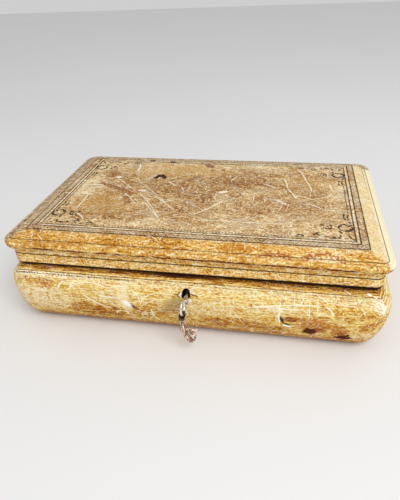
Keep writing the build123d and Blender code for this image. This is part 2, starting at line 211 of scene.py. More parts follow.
string_route = [
    (0.8, -109.2, 33.6),
    (-0.2, -108.8, 35.6),
    (0.5, -108.4, 38.4),
    (2.0, -108.3, 39.2),
    (3.4, -108.5, 37.8),
    (2.9, -108.8, 35.3),
    (1.5, -109.0, 33.2),
    (0.4, -109.2, 30.6),
    (-0.5, -109.0, 27.0),
    (-0.8, -108.8, 22.5),
    (0.8, -108.8, 17.0),
    (3.2, -109.0, 13.0),
    (6.3, -109.6, 10.2),
    (6.6, -110.6, 11.8),
    (4.0, -110.6, 14.4),
    (1.9, -110.6, 18.4),
    (0.5, -110.4, 23.0),
    (0.6, -110.2, 28.0),
    (1.5, -110.4, 30.0),
    (1.9, -110.9, 26.0),
    (2.6, -111.2, 20.5),
    (4.9, -111.2, 15.8),
    (7.4, -110.8, 12.6),
    (8.6, -109.9, 11.9),
    (7.4, -109.2, 13.4),
    (5.0, -109.0, 16.8),
    (3.2, -109.0, 21.2),
    (2.1, -108.8, 26.0),
    (2.4, -108.8, 29.2),
    (3.2, -109.6, 28.2),
    (3.2, -110.6, 24.0),
    (4.8, -111.0, 19.2),
    (7.0, -110.6, 14.8),
    (9.8, -109.8, 13.2),
    (10.3, -109.0, 14.6),
    (8.6, -108.8, 17.4),
    (6.4, -108.8, 20.6),
    (4.8, -108.9, 24.2),
    (5.0, -109.8, 25.8),
    (5.8, -110.6, 23.2),
    (7.7, -110.8, 19.2),
    (10.4, -110.0, 17.2),
    (10.6, -109.2, 19.2),
    (8.0, -109.2, 22.0),
    (5.2, -110.4, 22.6),
    (3.9, -111.4, 24.6),
    (6.6, -111.7, 25.6),
    (9.8, -111.2, 24.0),
    (13.1, -110.6, 25.2),
]
route = bpy.data.curves.new("string_route", "CURVE")
route.dimensions = "3D"
route.resolution_u = 8
line = route.splines.new("NURBS")
line.points.add(len(string_route) - 1)
for point, place in zip(line.points, string_route):
    point.co = (*(Vector(place) * MM), 1)
line.order_u = 3
line.use_endpoint_u = True
route_object = bpy.data.objects.new("string_route", route)
scene.collection.objects.link(route_object)
bpy.context.view_layer.update()
traced = bpy.data.meshes.new_from_object(route_object)
string_path = [v.co.copy() for v in traced.vertices]
bpy.data.objects.remove(route_object)

ply_turn = 3.4
ply_sides = 6
ply_radius = 0.50
ply_offset = 0.34
string_points = []
string_faces = []
for ply in (0, 1):
    across = Vector((0, 1, 0))
    run = 0.0
    first = len(string_points)
    for i, centre in enumerate(string_path):
        before = string_path[max(i - 1, 0)]
        after = string_path[min(i + 1, len(string_path) - 1)]
        along = (after - before).normalized()
        across = (across - along * across.dot(along)).normalized()
        over = along.cross(across)
        run += (centre - before).length / MM
        twist = 2 * pi * run / ply_turn + ply * pi
        middle = centre / MM + (across * cos(twist) + over * sin(twist)) * ply_offset
        for side in range(ply_sides):
            angle = 2 * pi * side / ply_sides
            string_points.append(middle + (across * cos(angle) + over * sin(angle)) * ply_radius)
    last = len(string_points) - ply_sides
    for ring in range(first, last, ply_sides):
        for side in range(ply_sides):
            a, b = ring + side, ring + (side + 1) % ply_sides
            string_faces.append((a, b, b + ply_sides, a + ply_sides))
    string_faces.append(tuple(range(first + ply_sides - 1, first - 1, -1)))
    string_faces.append(tuple(range(last, last + ply_sides)))

cotton, at = finish_of("old_cotton", {"Specular IOR Level": 0.1})
# Dark patches at random: painted shade standing in for the gaps between the strands.
strand_shade = at.noise(3.4, 4).step(0.50, 0.60)
fibre = at.spread((1, 1, 0.35)).noise(1.5, 4, 0.7)
cotton_tone = fibre.ramp(
    (0.40, (0.26, 0.11, 0.05)), (0.49, (0.66, 0.45, 0.28)), (0.57, (1.0, 0.90, 0.74))
)
# The knot and the loop round the ring's wire are painted almost black as painted shade.
knot_shade = at.parts()[2].step(29.0, 33.0)
cotton_tone = cotton_tone.tint((0.13, 0.050, 0.028), strand_shade * 0.75)
cotton_tone = cotton_tone.tint((0.010, 0.006, 0.007), knot_shade * (0.86 + strand_shade * 0.14))
put_on(cotton, cotton_tone, 0.75 + fibre * 0.2, fibre, 0.15)
string = add_piece("string", string_points, string_faces, cotton, "string")

# The knot is four hard turns of the same string drawn round the two legs of the loop,
# wider in its middle than at its ends.
knot_place = Vector((0.7, -109.1, 36.2))
knot_turns = 4
knot_drop = 4.8
knot_tilt = 0.5
knot_end_radius = 1.25
knot_swell = 0.45
knot_strand_radius = 0.672
knot_steps = 72
knot_points = []
knot_faces = []
for i in range(knot_steps + 1):
    share = i / knot_steps
    angle = 2 * pi * knot_turns * share
    wide = knot_end_radius + knot_swell * sin(pi * share)
    sunk = knot_tilt * sin(angle) - knot_drop * share
    middle = knot_place + Vector((wide * cos(angle), wide * sin(angle), sunk))
    along = Vector((-sin(angle), cos(angle), -0.1)).normalized()
    out = Vector((cos(angle), sin(angle), 0))
    over = along.cross(out)
    for side in range(ply_sides):
        turn = 2 * pi * side / ply_sides
        knot_points.append(middle + (out * cos(turn) + over * sin(turn)) * knot_strand_radius)
for ring in range(0, knot_steps * ply_sides, ply_sides):
    for side in range(ply_sides):
        a, b = ring + side, ring + (side + 1) % ply_sides
        knot_faces.append((a, b, b + ply_sides, a + ply_sides))
knot_faces.append(tuple(range(ply_sides - 1, -1, -1)))
knot_faces.append(tuple(range(knot_steps * ply_sides, (knot_steps + 1) * ply_sides)))
knot = add_piece("knot", knot_points, knot_faces, cotton, "string")
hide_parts("string_knot")
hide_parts("string_loop", "string_hank")


# -------------------------------------------------------------------------------- key
# Small hollow key of bright worn steel with a plain round bow, and inside the lock the
# cup and drill pin that guide it. Forged and filed, with rust where hands don't rub.
def metal(name, dark, light, low, high, rust, rust_from):
    """Filed metal: a broad tone, fine file lines and patches of rust or tarnish."""
    made, at = finish_of(name)
    patch = at.noise(3.0, 4).step(rust_from, rust_from + 0.12)
    lines = at.spread((1, 8, 1)).noise(0.8, 2)
    tone = at.noise(5.0, 3)
    colour = tone.ramp((0.3, dark), (0.7, light)).tint(rust, patch * 0.85)
    rough = low + (high - low) * at.noise(1.6, 3) + patch * 0.3
    put_on(made, colour, rough, lines, 0.02, 1 - patch * 0.8)
    return made


def dress(material, *nodes):
    """Give each of these solids the one material."""
    for node in nodes:
        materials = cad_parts[node].data.materials
        materials.clear()
        materials.append(material)


key_steel = metal(
    "key_steel", (0.72, 0.71, 0.68), (0.97, 0.96, 0.93), 0.14, 0.34, (0.07, 0.035, 0.02), 0.60
)
lock_steel = metal(
    "lock_steel", (0.20, 0.19, 0.18), (0.34, 0.33, 0.31), 0.35, 0.6, (0.09, 0.04, 0.02), 0.55
)
dress(key_steel, "key")
dress(lock_steel, "key_cup", "drill_pin")

# ------------------------------------------------------------------------------- lock
# Brass case with its selvedge let into the rim, a steel bolt, and the brass link plate
# in the lid whose staple drops into the case. All are held by slotted wood screws.
lock_brass = metal(
    "lock_brass", (0.40, 0.26, 0.09), (0.66, 0.47, 0.20), 0.25, 0.5, (0.10, 0.06, 0.03), 0.58
)
dress(lock_brass, "lock_case", "link_plate")
dress(lock_steel, "lock_bolt")

# ----------------------------------------------------------------------------- hinges
# Two brass butt hinges let in flush at the back, each with its pin.
hinge_brass = metal(
    "hinge_brass", (0.34, 0.22, 0.08), (0.58, 0.41, 0.17), 0.3, 0.55, (0.08, 0.05, 0.03), 0.56
)
for side in ("left", "right"):
    for part in ("base_leaf", "lid_leaf", "pin"):
        dress(hinge_brass, f"hinge_{side}_{part}")

# ----------------------------------------------------------------------------- screws
# Countersunk steel wood screws with one filed slot, their heads flush with the plates.
# Twelve go up into the rails or down into them, each turned its own way when driven.
screw_steel = metal(
    "screw_steel", (0.28, 0.26, 0.23), (0.48, 0.45, 0.40), 0.3, 0.55, (0.12, 0.06, 0.03), 0.55
)
head_radius = 2.0
head_depth = 0.9
slot_half = 0.28
slot_depth = 0.5
shank_radius = 1.0
foot_radius = 0.9
point_length = 1.0
screw_length = 8.0
arc_points = 9
slot_angle = atan2(slot_half, head_radius)
rim = []
for half in (0, pi):
    for i in range(arc_points):
        angle = half + slot_angle + (pi - 2 * slot_angle) * i / (arc_points - 1)
        rim.append((cos(angle), sin(angle)))
count = len(rim)
slope = slot_depth / head_depth
throat = head_radius + (shank_radius - head_radius) * slope
slot_ends = [0, arc_points - 1, arc_points, count - 1]
screw_points = [(head_radius * x, head_radius * y, 0) for x, y in rim]
screw_points += [(shank_radius * x, shank_radius * y, -head_depth) for x, y in rim]
screw_points += [(foot_radius * x, foot_radius * y, point_length - screw_length) for x, y in rim]
screw_points += [(throat * rim[i][0], throat * rim[i][1], -slot_depth) for i in slot_ends]
screw_points.append((0, 0, -screw_length))
floor_right, floor_left, floor_back, floor_front = range(3 * count, 3 * count + 4)
tip = 3 * count + 4
under = {0: floor_right, arc_points - 1: floor_left}
under |= {arc_points: floor_back, count - 1: floor_front}
screw_faces = [tuple(range(arc_points)), tuple(range(arc_points, count))]
for first, last in ((0, arc_points - 1), (arc_points, count - 1)):
    screw_faces.append((last, under[last], under[first], first)[::-1])
    for i in range(first, last):
        side = [i, i + 1, i + 1 + count, i + count]
        if i + 1 == last:
            side.insert(2, under[last])
        if i == first:
            side.append(under[first])
        screw_faces.append(tuple(side[::-1]))
screw_faces.append((floor_right, floor_left, floor_back, floor_front))
for i, j in ((arc_points - 1, arc_points), (count - 1, 0)):
    screw_faces.append((under[i], under[j], j + count, i + count)[::-1])
for i in range(count):
    j = (i + 1) % count
    screw_faces.append((i + 2 * count, j + 2 * count, j + count, i + count))
    screw_faces.append((j + 2 * count, i + 2 * count, tip))
screw_mesh = bpy.data.meshes.new("screw")
screw_mesh.from_pydata([Vector(p) * MM for p in screw_points], [], screw_faces)
screw_mesh.validate()
one_screw = bpy.data.objects.new("one_screw", screw_mesh)

drive = bpy.data.node_groups.new("drive_screws", "GeometryNodeTree")
drive.interface.new_socket("Places", in_out="INPUT", socket_type="NodeSocketGeometry")
screw_input = drive.interface.new_socket("Screw", in_out="INPUT", socket_type="NodeSocketObject")
flip_input = drive.interface.new_socket("Flip", in_out="INPUT", socket_type="NodeSocketFloat")
seed_input = drive.interface.new_socket("Seed", in_out="INPUT", socket_type="NodeSocketInt")
drive.interface.new_socket("Screws", in_out="OUTPUT", socket_type="NodeSocketGeometry")
entry = drive.nodes.new("NodeGroupInput")
leave = drive.nodes.new("NodeGroupOutput")
pattern = drive.nodes.new("GeometryNodeObjectInfo")
driven = drive.nodes.new("FunctionNodeRandomValue")
driven.inputs["Max"].default_value = pi
turned = drive.nodes.new("ShaderNodeCombineXYZ")
spot = drive.nodes.new("GeometryNodeInstanceOnPoints")
real = drive.nodes.new("GeometryNodeRealizeInstances")
steeled = drive.nodes.new("GeometryNodeSetMaterial")
steeled.inputs["Material"].default_value = screw_steel
for source, target in (
    (entry.outputs["Places"], spot.inputs["Points"]),
    (entry.outputs["Screw"], pattern.inputs["Object"]),
    (pattern.outputs["Geometry"], spot.inputs["Instance"]),
    (entry.outputs["Seed"], driven.inputs["Seed"]),
    (entry.outputs["Flip"], turned.inputs["X"]),
    (driven.outputs[1], turned.inputs["Z"]),
    (turned.outputs[0], spot.inputs["Rotation"]),
    (spot.outputs[0], real.inputs[0]),
    (real.outputs[0], steeled.inputs["Geometry"]),
    (steeled.outputs[0], leave.inputs[0]),
):
    drive.links.new(source, target)

rim_z = 53.7
lid_z = 54.0
hinge_places = [(x, 77.65) for x in (-88.5, -71.5, 71.5, 88.5)]
lock_places = [(x, -76.9) for x in (-18.1, 21.9)]
for name, places, z, body, seed in (
    ("hinge_base_screws", hinge_places, rim_z, "base", 3),
    ("lock_screws", lock_places, rim_z, "base", 5),
    ("hinge_lid_screws", hinge_places, lid_z, "lid", 8),
    ("link_screws", lock_places, lid_z, "lid", 13),
):
    points = bpy.data.meshes.new(name)
    points.from_pydata([Vector((x, y, z)) * MM for x, y in places], [], [])
    holder = bpy.data.objects.new(name, points)
    scene.collection.objects.link(holder)
    driver = holder.modifiers.new("drive", "NODES")
    driver.node_group = drive
    driver[screw_input.identifier] = one_screw
    driver[flip_input.identifier] = pi if body == "lid" else 0.0
    driver[seed_input.identifier] = seed
    bpy.context.view_layer.update()
    evaluated = holder.evaluated_get(bpy.context.evaluated_depsgraph_get())
    driven_mesh = bpy.data.meshes.new_from_object(evaluated)
    holder.modifiers.clear()
    holder.data = driven_mesh
    holder.name = name.replace("screws", "slotted_screws")
    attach(holder, body)
    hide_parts(name)

# -------------------------------------------------------------------- rails and boards
# Softwood carcass of base and lid: boards with their grain along the box, and rails
# with the grain along each rail. It shows only where the leather ends.
wood_pale = (0.56, 0.38, 0.20)
wood_dark = (0.34, 0.19, 0.085)
key_x = 1.9
key_height = 42.6
# Radius of the painted shade round the key's bore.
bore_shade_radius = 7.0


def softwood(name, stretch):
    """Bare wood, its pattern drawn out along the grain. Round the key it is painted dark as the
    shade of the bore.
    """
    made, at = finish_of(name, {"Specular IOR Level": 0.25})
    fine = at.spread(stretch).noise(9.0, 5, 0.65, 0.6)
    pore = at.spread(stretch).noise(1.4, 2)
    colour = fine.ramp((0.35, wood_dark), (0.52, wood_pale), (0.7, (0.62, 0.44, 0.25)))
    colour = colour.tint(wood_dark, pore.step(0.6, 0.75) * 0.5)
    x, _, z = at.parts()
    reach = (x - key_x) * (x - key_x) + (z - key_height) * (z - key_height)
    # Painted shade of the keyhole's bore in the wood round the key.
    bore_shade = reach.step((bore_shade_radius + 0.5) ** 2, (bore_shade_radius - 0.5) ** 2)
    colour = colour.tint((0.010, 0.007, 0.005), bore_shade)
    put_on(made, colour, 0.6 + pore * 0.2, pore, 0.08)
    return made


wood_along = softwood("wood_along", (0.12, 1, 1))
wood_across = softwood("wood_across", (1, 0.12, 1))
dress(wood_along, "bottom_board", "front_rail", "back_rail")
dress(wood_along, "lid_board", "lid_front_rail", "lid_back_rail")
dress(wood_across, "left_rail", "right_rail", "lid_left_rail", "lid_right_rail")

# ----------------------------------------------------------------------------- lining
# Faded wine velvet pasted on card: a floor, four walls that stand above the rim as a
# lip, and a panel with four strips in the lid.
velvet, at = finish_of("wine_velvet", {"Sheen Weight": 0.6, "Specular IOR Level": 0.1})
nap = at.noise(0.6, 2)
faded = at.noise(28.0, 4).step(0.35, 0.7)
crushed = at.turned(0.5).spread((1, 0.35, 1)).noise(9.0, 4).step(0.45, 0.7)
colour = nap.ramp((0.3, (0.075, 0.008, 0.012)), (0.7, (0.19, 0.026, 0.032)))
colour = colour.tint((0.30, 0.085, 0.070), faded * 0.45).tint((0.06, 0.006, 0.01), crushed * 0.4)
put_on(velvet, colour, 0.8 + nap * 0.18, nap + crushed * 0.6, 0.25)
dress(velvet, *(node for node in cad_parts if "lining" in node))


# ----------------------------------------------------------------------- base leather
# One honey-tan skin drawn over the cushion moulding and turned in at the rim. Its face
# is rubbed to cream and cut by scratches, its foot is painted darker as shade, and a
# tooled line with a small roll of dots runs round the shoulder.
def unrolled(at, half, widest, girth):
    """Place on the skin laid flat: along the side, then up it, both in millimetres."""
    x, y, z = at.parts()
    past_x = abs(x) - half[0]
    past_y = abs(y) - half[1]
    on_end = past_x.math("GREATER_THAN", past_x, past_y)
    behind = y.math("GREATER_THAN", y, 0)
    straight = x + (girth - x) * behind * 2
    round_end = x.math("SIGN", x) * (y + girth)
    along = straight + (round_end - straight) * on_end
    up = z - (z - widest).math("SIGN", z - widest) * past_x.above(past_y)
    return at.node("ShaderNodeCombineXYZ", None, {0: along, 1: up}), along, up


def cuts(flat, marks, shift, cell, long, wide, bend, share, lean=0.0, sway=pi):
    """More scratches over those in marks: one in each random cell, in that share of the cells.

    They jog a little where they cross the older ones.
    """
    jog = marks * 0.3
    shift = flat.node("ShaderNodeCombineXYZ", None, {0: jog + shift[0], 1: jog + shift[1]})
    flat = flat.moved(shift)
    inputs = {"Vector": flat, "Scale": 1 / cell, "Randomness": 1.0}
    settings = {"voronoi_dimensions": "2D"}
    middle = flat.node("ShaderNodeTexVoronoi", settings, inputs, "Position")
    chance = flat.node("ShaderNodeTexVoronoi", settings, inputs, "Color")
    first, second, third = chance.parts()
    local = flat.node("ShaderNodeVectorMath", {"operation": "SUBTRACT"}, {0: flat, 1: middle})
    run, off, _ = local.turned((first - 0.5) * sway + lean).parts()
    off = off + (second - 0.5) * bend * run * run
    reach = long * (0.35 + 0.65 * second) / 2
    taper = 1 - (abs(run) / reach).below(1.0)
    thin = (abs(off) - wide * taper).step(wide * 0.5, wide * -0.3)
    return marks.above(thin * taper.step(0.0, 0.2) * third.step(1 - share, 1.01 - share))


def blot(flat, centre, half, ragged, turn=0.0, rough=0.5, soft=0.12):
    """An oval mark, 1 inside, with an edge that follows the ragged field."""
    local = flat.moved((-centre[0], -centre[1], 0))
    run = local.dot((cos(turn) / half[0], sin(turn) / half[0], 0))
    off = local.dot((-sin(turn) / half[1], cos(turn) / half[1], 0))
    reach = run.math("MULTIPLY_ADD", run, run, off * off)
    reach = reach.math("MULTIPLY_ADD", ragged, rough * 2, reach)
    return reach.step((1 + soft) ** 2, (1 - soft) ** 2)


def spots(flat, ragged, rows):
    """Oval marks as one mask, a row for each: centre, half sizes, turn, rough, soft, strength."""
    mask = None
    for centre, half, turn, rough, soft, *strength in rows:
        mark = blot(flat, centre, half, ragged, turn, rough, soft)
        if strength:
            mark = mark * strength[0]
        mask = mark if mask is None else mask.above(mark)
    return mask


def slash(flat, start, end, half_wide, ragged, bow=0.0):
    """One long mark from start to end, bowed sideways in its middle."""
    across, rise = end[0] - start[0], end[1] - start[1]
    long = hypot(across, rise)
    local = flat.moved((-(start[0] + end[0]) / 2, -(start[1] + end[1]) / 2, 0))
    share = local.dot((across / long * 2 / long, rise / long * 2 / long, 0))
    bowed = share.math("MULTIPLY_ADD", share * share, bow, -bow)
    off = abs(local.dot((-rise / long, across / long, 0)) + bowed) + ragged * 0.5
    return off.step(half_wide * 1.35, half_wide * 0.65) * abs(share).step(1.0, 0.9)


def dots(along, off, pitch, radius):
    """A row of punched dots: one in the middle of each pitch."""
    beat = abs(along.math("FRACT", along / pitch) - 0.5) * pitch
    return (beat * beat + off * off).step((radius * 1.15) ** 2, (radius * 0.85) ** 2)


base_half = (150.0, 96.25)
base_widest = 37.0
base_girth = base_half[0] + base_half[1]
base_line_up = 58.0
keyhole = (1.3, 43.9)
keyhole_half = (3.35, 3.35)
roll_drop = 2.7
leather_base, at = finish_of("leather_base", {"Specular IOR Level": 0.06})
flat, along, up = unrolled(at, base_half, base_widest, base_girth)
cloud = at.noise(34.0, 4, 0.6)
patchy = flat.noise(6.0, 6, 0.75, 0.5)
fine = flat.spread((0.7, 1, 1)).noise(1.7, 4, 0.75)
streak = flat.spread((0.09, 1, 1)).noise(1.4, 4, 0.7)
grain = at.noise(1.0, 3)
wander = patchy - 0.5
ragged = flat.noise(3.0, 4, 0.6) - 0.5
wavy = flat.moved(at.node("ShaderNodeCombineXYZ", None, {0: wander * 3, 1: ragged * 1.5}))

# Where the skin kept its orange polish, and where it was rubbed pale. The polish mask
# also holds painted shade along the foot, where the skin curves under.
polished = spots(wavy, wander, (
    ((-116.0, 45.5), (17.0, 4.5), -0.1, 1.6, 0.5),
    ((-72.0, 18.0), (23.0, 9.0), -0.08, 1.6, 0.5),
    ((-29.0, 22.0), (12.0, 7.0), 0.0, 1.8, 0.6, 0.7),
    ((42.0, 16.0), (28.0, 6.5), 0.0, 1.6, 0.5, 0.85),
    ((64.0, 9.0), (16.0, 4.0), 0.0, 1.8, 0.6, 0.8),
    ((124.0, 42.0), (18.0, 7.0), -0.2, 2.0, 0.7, 0.5),
    ((137.0, 27.0), (6.0, 4.5), 0.0, 1.6, 0.5, 0.8),
))
# Darker orange along the foot: painted shade where the skin curves under.
polished = polished.above(up.step(9, 2) * 0.8)
rubbed = spots(wavy, wander, (
    ((-122.0, 28.0), (24.0, 13.0), 0.0, 1.8, 0.6),
    ((68.0, 37.5), (18.0, 3.0), 0.05, 1.4, 0.5, 0.8),
    ((12.0, 33.0), (26.0, 7.0), 0.1, 1.8, 0.7, 0.5),
    ((129.0, 12.0), (14.0, 6.0), 0.1, 1.6, 0.6, 0.8),
    ((-47.0, 33.0), (3.2, 26.0), 0.06, 1.4, 0.4),
    ((-55.0, 38.0), (12.0, 9.0), 0.3, 1.8, 0.6, 0.5),
))
# Lighter toward the top: painted light on the upper face of the cushion. The polished patches and
# the foot darken it, and the rubbed ones lighten it.
lie_light_and_wear = up.step(10, 50) * 0.028 - 0.012 - polished * 0.058 + rubbed * 0.022
tone = patchy * 0.26 + fine * 0.36 + streak * 0.38 + lie_light_and_wear
colour = tone.ramp(
    (0.400, (0.26, 0.060, 0.003)),
    (0.435, (0.46, 0.180, 0.013)),
    (0.475, (0.62, 0.330, 0.045)),
    (0.520, (0.77, 0.560, 0.170)),
    (0.565, (0.92, 0.800, 0.400)),
    (0.625, (1.00, 0.960, 0.720)),
)
chafed = rubbed * (fine * 0.6 + patchy * 0.4).step(0.46, 0.53)
colour = colour.tint((0.92, 0.76, 0.54), chafed * 0.75)
crest = up.step(50.5, 53.5) * up.step(58.4, 57.4) * along.step(-50, -95)
crest = crest.above(up.step(44, 53) * up.step(58.4, 57.0) * 0.35)
colour = colour.tint((1.0, 0.97, 0.80), crest * fine.step(0.47, 0.53) * 0.95)

marks = fine.step(0.60, 0.68) * 0.6
for lot in (
    ((0, 0), 46, 46, 0.34, 0.02, 0.7),
    ((9, 23), 30, 30, 0.36, 0.05, 0.7),
    ((31, 7), 18, 17, 0.34, 0.10, 0.7),
    ((19, 3), 12, 12, 0.28, 0.12, 0.7),
    ((5, 11), 6, 5, 0.26, 0.3, 0.6),
    ((2, 37), 4, 3.4, 0.26, 0.4, 0.5),
):
    marks = cuts(flat, marks, *lot)
colour = colour.tint((1.0, 0.95, 0.74), marks * 0.8)

for start, end, half_wide, bow in (
    ((-81.0, 36.5), (-60.0, 23.0), 0.62, -1.6),
    ((-69.5, 37.5), (-51.0, 36.0), 0.55, -0.9),
    ((-95.0, 39.0), (-76.0, 49.5), 0.50, 2.4),
    ((-101.5, 41.0), (-98.0, 49.0), 0.70, 0.5),
    ((-92.0, 43.0), (-87.5, 51.0), 0.55, 0.3),
    ((-77.0, 49.5), (-63.0, 46.0), 0.50, 0.8),
    ((-57.0, 15.0), (-52.0, 20.5), 0.60, 1.6),
    ((-52.0, 20.5), (-47.0, 17.0), 0.50, 1.2),
    ((-40.5, 44.0), (-36.0, 33.0), 0.45, 2.2),
    ((-27.0, 27.0), (-22.0, 8.0), 0.50, -1.4),
    ((-36.0, 30.0), (-22.0, 44.0), 0.35, 2.6),
    ((50.0, 38.5), (98.0, 45.5), 0.50, 0.8),
    ((50.0, 40.0), (84.0, 39.0), 0.45, 0.4),
    ((87.0, 52.0), (85.0, 43.0), 0.40, 0.0),
    ((96.5, 48.5), (97.0, 39.0), 0.40, 0.5),
    ((97.0, 54.5), (104.0, 48.0), 0.42, 0.9),
    ((102.5, 45.0), (108.5, 38.0), 0.70, 0.6),
    ((107.5, 49.0), (123.0, 47.5), 0.45, -0.5),
    ((88.0, 40.0), (93.5, 35.0), 0.40, -1.0),
    ((71.0, 47.5), (70.6, 33.0), 0.38, -0.2),
):
    colour = colour.tint((1.0, 0.94, 0.74), slash(wavy, start, end, half_wide, ragged, bow) * 0.85)

halo = spots(wavy, ragged, (
    ((96.5, 23.5), (11.5, 9.0), 0.0, 1.8, 0.3),
    ((114.5, 18.5), (5.6, 10.5), 0.35, 1.8, 0.3),
    ((72.5, 47.0), (1.2, 2.2), -0.7, 1.0, 0.3),
    ((86.0, 30.0), (3.2, 1.6), 0.0, 1.4, 0.3),
    ((109.5, 7.5), (4.0, 1.2), 0.0, 1.4, 0.3),
    ((58.5, 14.5), (3.0, 2.2), 0.0, 1.4, 0.4, 0.7),
))
halo = halo.above(slash(wavy, (110.0, 30.0), (114.5, 20.0), 0.9, ragged))
colour = colour.tint((0.42, 0.125, 0.006), halo * (0.55 + fine.step(0.54, 0.44) * 0.4))
browned = spots(wavy, ragged, (
    ((79.0, 29.5), (4.6, 3.0), -0.15, 1.2, 0.2),
    ((98.5, 18.0), (4.8, 3.2), 0.3, 1.5, 0.3, 0.8),
    ((116.0, 14.5), (2.4, 4.0), 0.3, 1.5, 0.3, 0.8),
))
colour = colour.tint((0.22, 0.032, 0.002), browned * (0.70 + fine.step(0.54, 0.44) * 0.25))
stain = spots(wavy, ragged, (
    ((93.0, 15.0), (4.9, 5.0), 0.0, 1.2, 0.2),
    ((117.5, 9.0), (6.2, 3.6), 0.0, 1.1, 0.2, 1.06),
    ((120.5, 14.0), (1.2, 2.2), 0.0, 0.8, 0.12),
))
colour = colour.tint((0.075, 0.006, 0.001), stain * 0.97)
drip = blot(wavy, (-47.5, 36.0), (2.8, 15.0), ragged, 0.0, 1.6, 0.4)
colour = colour.tint((0.93, 0.80, 0.50), drip * 0.6)
torn = spots(wavy, ragged, (
    ((-45.5, 30.5), (5.0, 2.4), -0.62, 1.4, 0.12),
    ((71.0, 29.5), (0.8, 4.6), 0.1, 0.8, 0.12),
    ((76.5, 21.0), (3.6, 1.2), -0.45, 1.0, 0.12),
    ((-38.0, 23.0), (2.0, 0.7), -0.8, 1.0, 0.12),
))
colour = colour.tint((1.0, 0.98, 0.95), torn * 0.97)
patched = blot(wavy, (-33.5, 17.0), (2.6, 5.2), ragged, -0.1, 1.8, 0.3)
colour = colour.tint((0.95, 0.83, 0.52), patched * 0.6)
core = spots(wavy, ragged, (
    ((-39.5, 26.0), (3.6, 1.9), -0.8, 1.2, 0.12),
    ((-33.5, 15.0), (1.5, 1.6), 0.0, 1.2, 0.12),
))
colour = colour.tint((0.27, 0.085, 0.022), core * 0.9)
gash = spots(wavy, ragged, (
    ((-42.0, 28.5), (2.0, 0.9), -0.9, 0.9, 0.12, 0.8),
    ((72.5, 28.0), (4.2, 1.1), -1.25, 1.2, 0.12),
    ((77.0, 23.0), (2.6, 1.1), -0.35, 1.2, 0.12),
    ((-6.0, 44.5), (2.6, 0.40), 0.05, 0.7, 0.12),
    ((-4.0, 46.5), (2.0, 0.34), 0.85, 0.7, 0.12),
    ((-4.0, 42.5), (2.2, 0.34), -0.8, 0.7, 0.12),
    ((7.5, 45.0), (3.2, 0.42), -0.35, 0.7, 0.12),
))
colour = colour.tint((0.045, 0.018, 0.010), gash * 0.92)
# Painted shadow of the key, falling below and to the left of the keyhole.
key_shadow = blot(wavy, (-8.0, 34.0), (12.0, 5.0), ragged, 0.75, 0.8, 0.7)
colour = colour.tint((0.26, 0.13, 0.03), key_shadow * 0.55)
lips = spots(wavy, ragged, (
    ((-2.0, 44.5), (1.7, 2.6), 0.3, 1.4, 0.12),
    ((4.5, 39.5), (1.5, 1.6), 0.3, 1.6, 0.12),
))
colour = colour.tint((0.95, 0.86, 0.74), lips * 0.8)
# A dark disc over the keyhole and its rim: painted shade of the bore.
hole = blot(wavy, keyhole, keyhole_half, ragged, 0.0, 0.2)
colour = colour.tint((0.012, 0.009, 0.008), hole)

worn_off = patchy.step(0.62, 0.50)
line = abs(up - base_line_up).step(0.50, 0.25)
leaning = along + (up - base_line_up + roll_drop) * 0.8
roll = dots(leaning, (up - base_line_up + roll_drop) * 1.3, 2.3, 0.95)
faded = 0.35 + along.step(-20, -60) * 0.65
tooled = (line * (0.6 + worn_off * 0.4)).above(roll * faded * worn_off)
colour = colour.tint((0.030, 0.016, 0.005), tooled * 0.88)
bare_strip = up.step(base_line_up + 0.5, base_line_up + 0.9)
# The strip above the tooled line darkens toward the lid: painted shade under the lid's overhang.
strip = (streak * 0.6 + fine * 0.4 - up.step(59.0, 63.5) * 0.085 + 0.03).ramp(
    (0.39, (0.115, 0.022, 0.002)),
    (0.44, (0.34, 0.110, 0.006)),
    (0.49, (0.54, 0.245, 0.022)),
    (0.54, (0.78, 0.500, 0.110)),
    (0.60, (1.00, 0.860, 0.420)),
)
colour = colour.tint(strip, bare_strip * 0.96)
flaked = spots(wavy, ragged, (
    ((131.5, 60.5), (1.5, 1.1), -0.9, 3.0, 0.12),
    ((135.5, 58.5), (1.3, 0.9), -0.4, 3.0, 0.12),
))
flaked = flaked.above(slash(wavy, (114.5, 63.0), (119.0, 59.0), 0.4, ragged) * 0.6)
colour = colour.tint((1.0, 0.97, 0.90), flaked * 0.9)
glare = spots(wavy, ragged, (
    ((146.0, 50.0), (9.0, 6.0), 0.0, 1.8, 0.7),
    ((152.0, 38.0), (4.0, 16.0), 0.0, 2.0, 0.7, 0.6),
))
colour = colour.tint((1.0, 0.98, 0.88), glare * fine.step(0.40, 0.52) * 0.85)
colour = colour.tint((1.0, 0.93, 0.70), marks * bare_strip * 0.45)
# A dark red band just under the lid at the middle: painted shade below the gap.
red_gap_shade = blot(wavy, (-6.0, 64.5), (22.0, 1.9), ragged, 0.0, 1.4, 0.5)
colour = colour.tint((0.050, 0.008, 0.004), red_gap_shade * 0.9)
# Near black along the rim's edge: painted shade in the gap under the lid.
lid_gap_shade = up.step(66.0, 66.8)
colour = colour.tint((0.016, 0.006, 0.004), lid_gap_shade)
turned_in = patchy.ramp((0.40, (0.085, 0.033, 0.013)), (0.60, (0.200, 0.090, 0.036)))
colour = colour.tint(turned_in, up.step(68.5, 70.0))
put_on(
    leather_base,
    colour,
    0.42 + cloud * 0.16 + chafed * 0.2 + marks * 0.15,
    grain * 0.35 + streak * 0.4 + chafed * 0.2 - marks * 0.4 - tooled * 0.6 - gash,
    0.35,
)
dress(leather_base, "base_leather")

# The sheet under the box is plain dark leather, matt and scuffed where it stands.
leather_under, at = finish_of("leather_under", {"Specular IOR Level": 0.3})
grain = at.noise(1.2, 3)
rubbed = at.noise(16.0, 5).step(0.5, 0.7)
colour = grain.ramp((0.3, (0.10, 0.050, 0.022)), (0.7, (0.19, 0.10, 0.045)))
put_on(leather_under, colour.tint((0.36, 0.23, 0.12), rubbed * 0.4), 0.6 + grain * 0.2, grain, 0.15)
dress(leather_under, "under_sheet")


